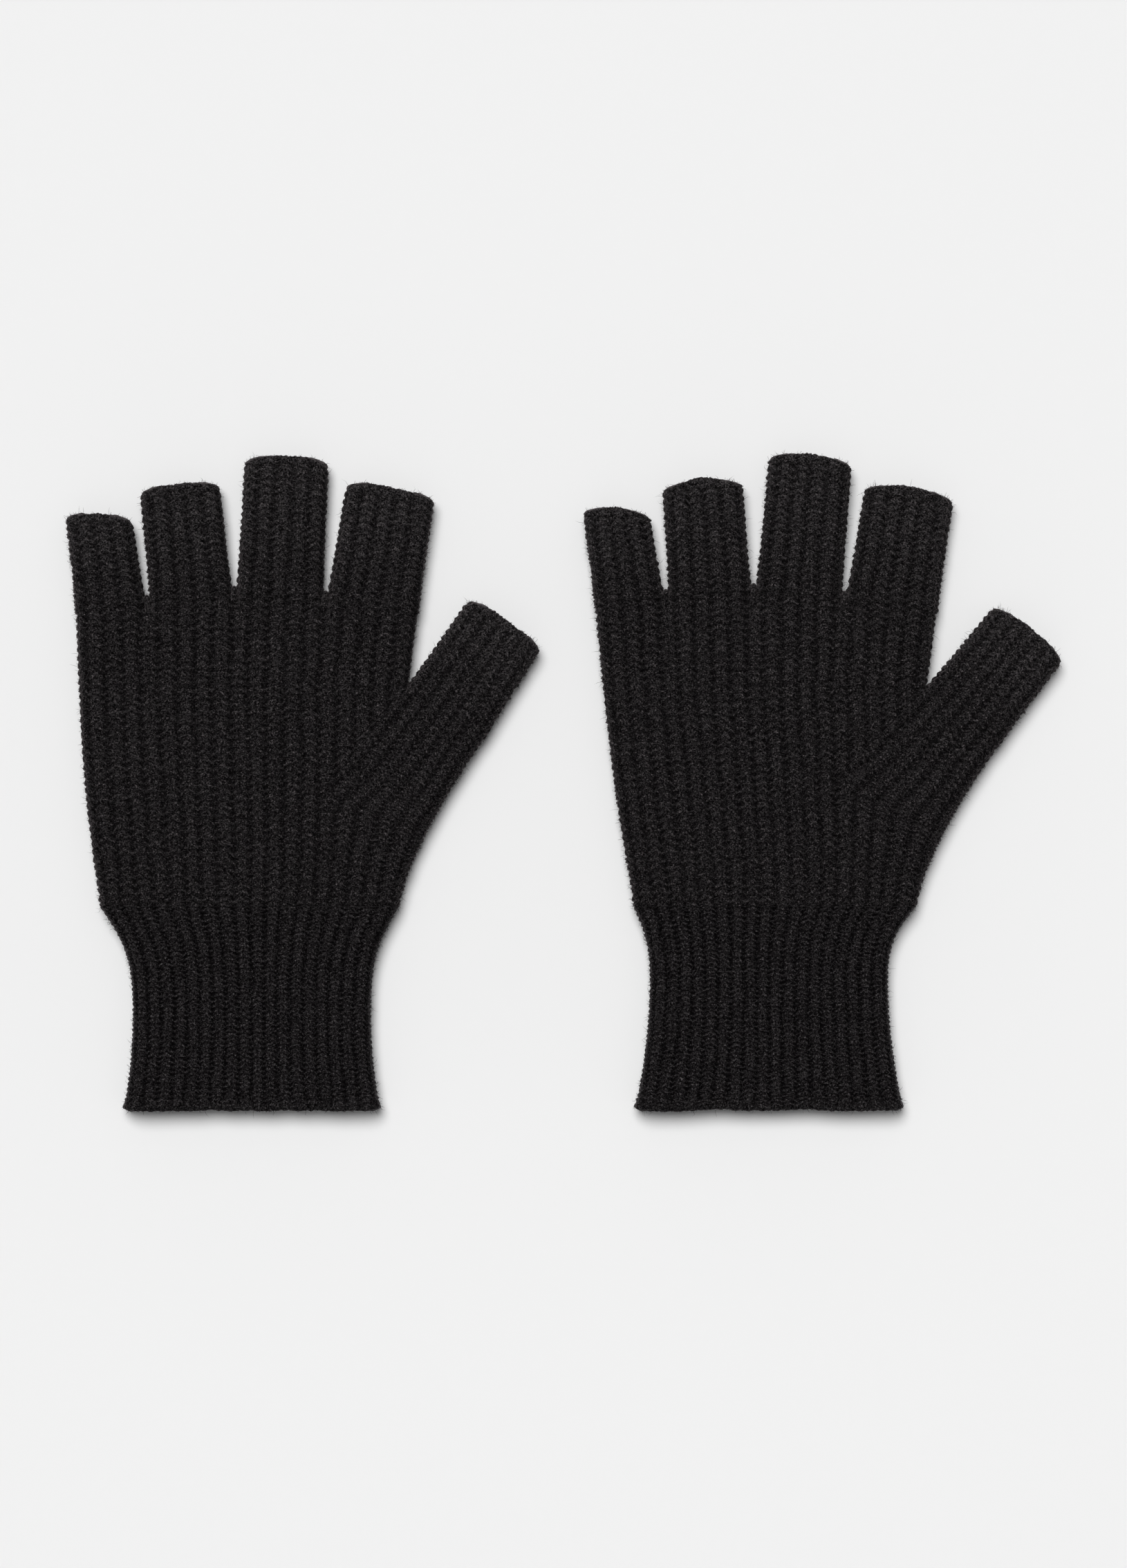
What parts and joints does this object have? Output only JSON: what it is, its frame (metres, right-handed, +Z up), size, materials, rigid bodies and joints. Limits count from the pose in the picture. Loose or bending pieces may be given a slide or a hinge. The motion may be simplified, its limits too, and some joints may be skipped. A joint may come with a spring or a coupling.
{
  "type": "fingerless gloves",
  "caption": "Pair of ribbed-knit fingerless gloves lying flat: rib cuffs, open-ended half-finger stalls and a slanted thumb stall on a gusset.",
  "frame": {"origin": "centre of the outline of the pair, on the surface the gloves lie on", "axes": "+X across the pair towards the thumbs, +Y from the cuffs to the fingertips, +Z up from the surface"},
  "size_m": [0.3054, 0.2, 0.01],
  "materials": {
    "hand_knit": "soft brushed chunky rib knit, near-black",
    "cuff_knit": "soft brushed fine rib knit, near-black",
    "edge_knit": "cast-on and cast-off knitted edge, near-black"
  },
  "bodies": {
    "left_hand": {"left_palm": "hand_knit", "left_thumb_gusset": "hand_knit", "left_knuckles": "hand_knit", "left_little_ring_web": "edge_knit", "left_ring_middle_web": "edge_knit", "left_middle_index_web": "edge_knit"},
    "left_cuff": {"left_cuff": "cuff_knit", "left_cuff_edge": "edge_knit"},
    "left_little": {"left_little_stall": "hand_knit", "left_little_edge": "edge_knit"},
    "left_ring": {"left_ring_stall": "hand_knit", "left_ring_edge": "edge_knit"},
    "left_middle": {"left_middle_stall": "hand_knit", "left_middle_edge": "edge_knit"},
    "left_index": {"left_index_stall": "hand_knit", "left_index_edge": "edge_knit"},
    "left_thumb": {"left_thumb_stall": "hand_knit", "left_thumb_edge": "edge_knit"},
    "right_hand": {"right_palm": "hand_knit", "right_thumb_gusset": "hand_knit", "right_knuckles": "hand_knit", "right_little_ring_web": "edge_knit", "right_ring_middle_web": "edge_knit", "right_middle_index_web": "edge_knit"},
    "right_cuff": {"right_cuff": "cuff_knit", "right_cuff_edge": "edge_knit"},
    "right_little": {"right_little_stall": "hand_knit", "right_little_edge": "edge_knit"},
    "right_ring": {"right_ring_stall": "hand_knit", "right_ring_edge": "edge_knit"},
    "right_middle": {"right_middle_stall": "hand_knit", "right_middle_edge": "edge_knit"},
    "right_index": {"right_index_stall": "hand_knit", "right_index_edge": "edge_knit"},
    "right_thumb": {"right_thumb_stall": "hand_knit", "right_thumb_edge": "edge_knit"}
  },
  "joints": [
    {"name": "left_cuff_fold", "type": "hinge", "parent": "left_hand", "child": "left_cuff", "pos_m": [-0.09539, -0.03802, 0.01], "axis": [-1, 0, 0], "range_deg": [0, 90]},
    {"name": "left_little_fold", "type": "hinge", "parent": "left_hand", "child": "left_little", "pos_m": [-0.13848, 0.05294, 0.01], "axis": [0.9914, 0.1305, 0], "range_deg": [0, 90]},
    {"name": "left_ring_fold", "type": "hinge", "parent": "left_hand", "child": "left_ring", "pos_m": [-0.11395, 0.05582, 0.01], "axis": [0.9945, 0.1045, 0], "range_deg": [0, 90]},
    {"name": "left_middle_fold", "type": "hinge", "parent": "left_hand", "child": "left_middle", "pos_m": [-0.08694, 0.05648, 0.01], "axis": [0.9986, -0.0523, 0], "range_deg": [0, 90]},
    {"name": "left_index_fold", "type": "hinge", "parent": "left_hand", "child": "left_index", "pos_m": [-0.05864, 0.05346, 0.01], "axis": [0.9877, -0.1564, 0], "range_deg": [0, 90]},
    {"name": "left_thumb_fold", "type": "hinge", "parent": "left_hand", "child": "left_thumb", "pos_m": [-0.03645, 0.02057, 0.01], "axis": [0.8329, -0.5534, 0], "range_deg": [0, 90]},
    {"name": "right_cuff_fold", "type": "hinge", "parent": "right_hand", "child": "right_cuff", "pos_m": [0.06221, -0.03802, 0.01], "axis": [-1, 0, 0], "range_deg": [0, 90]},
    {"name": "right_little_fold", "type": "hinge", "parent": "right_hand", "child": "right_little", "pos_m": [0.0197, 0.05452, 0.01], "axis": [0.989, 0.1478, 0], "range_deg": [0, 90]},
    {"name": "right_ring_fold", "type": "hinge", "parent": "right_hand", "child": "right_ring", "pos_m": [0.04424, 0.05713, 0.01], "axis": [0.9976, 0.0698, 0], "range_deg": [0, 90]},
    {"name": "right_middle_fold", "type": "hinge", "parent": "right_hand", "child": "right_middle", "pos_m": [0.07125, 0.05686, 0.01], "axis": [0.9962, -0.0872, 0], "range_deg": [0, 90]},
    {"name": "right_index_fold", "type": "hinge", "parent": "right_hand", "child": "right_index", "pos_m": [0.09952, 0.05335, 0.01], "axis": [0.9877, -0.1564, 0], "range_deg": [0, 90]},
    {"name": "right_thumb_fold", "type": "hinge", "parent": "right_hand", "child": "right_thumb", "pos_m": [0.12102, 0.01951, 0.01], "axis": [0.7837, -0.6211, 0], "range_deg": [0, 90]},
    {"name": "right_glove_lift", "type": "slide", "parent": "left_hand", "child": "right_hand", "axis": [0, 0, 1], "range_m": [0, 0.12]}
  ]
}
